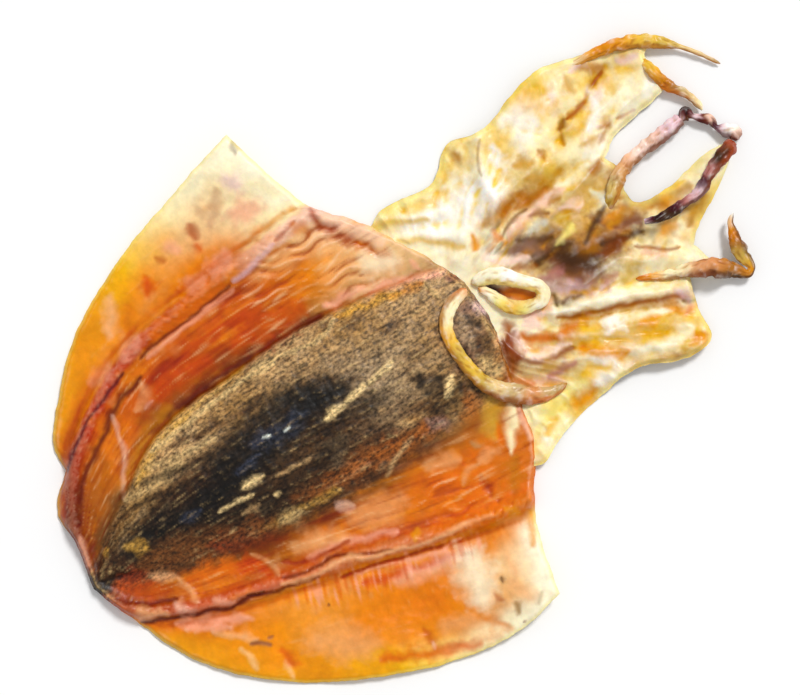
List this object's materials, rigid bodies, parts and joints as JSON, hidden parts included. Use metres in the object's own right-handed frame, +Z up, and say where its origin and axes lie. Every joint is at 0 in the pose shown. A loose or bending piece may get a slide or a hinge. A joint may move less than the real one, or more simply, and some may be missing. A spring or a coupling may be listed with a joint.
{
  "type": "dried cuttlefish",
  "caption": "Whole cuttlefish opened flat and dried, with a dark domed back, rolled fin bands, wide side flaps and a crumpled web of arms.",
  "frame": {"origin": "under the middle of the whole, on the surface it lies on", "axes": "+Y along the animal from the tail to the arms, +X to its right side seen from above, +Z up"},
  "size_m": [0.171, 0.2442, 0.0106],
  "materials": {
    "dried_skin": "dry, slightly glossy orange-brown skin with an olive-black back and a pale yellow head"
  },
  "bodies": {
    "root": {"cuttlefish": "dried_skin"}
  },
  "joints": []
}
